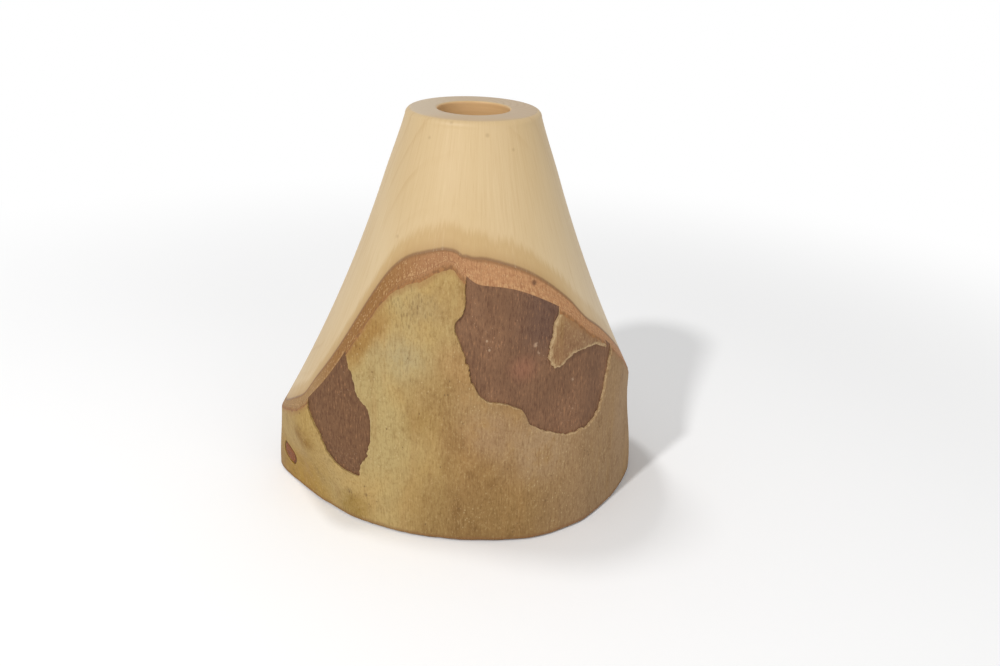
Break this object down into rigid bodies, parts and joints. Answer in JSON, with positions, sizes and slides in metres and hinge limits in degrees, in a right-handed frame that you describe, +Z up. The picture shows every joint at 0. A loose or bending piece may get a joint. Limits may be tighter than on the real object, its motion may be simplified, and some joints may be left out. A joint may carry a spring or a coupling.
{
  "type": "live-edge wooden vase",
  "caption": "Wooden bud vase turned from a log: a flared cone with a drilled mouth above a wavy live edge, patchy bark below, and a lift-out glass water tube inside.",
  "frame": {"origin": "where the lathe axis meets the sawn foot", "axes": "+Z up along the lathe axis through the rim and the bore, -Y towards the front with the high arch of the live edge"},
  "size_m": [0.1444, 0.1036, 0.15],
  "materials": {
    "wood": "fine sanded, bare",
    "inner_bark": "fibrous, matt",
    "outer_bark": "thin flaking bark, matt",
    "knot": "end grain, matt",
    "tube_glass": "clear"
  },
  "bodies": {
    "vase": {"wood_body": "wood", "inner_bark": "inner_bark", "bark_sheet": "outer_bark", "bark_flake_front": "outer_bark", "bark_flake_back": "outer_bark", "branch_knot": "knot"},
    "tube": {"water_tube": "tube_glass"}
  },
  "joints": [
    {"name": "tube_lift", "type": "slide", "parent": "vase", "child": "tube", "axis": [0, 0, 1], "range_m": [0, 0.105]}
  ]
}
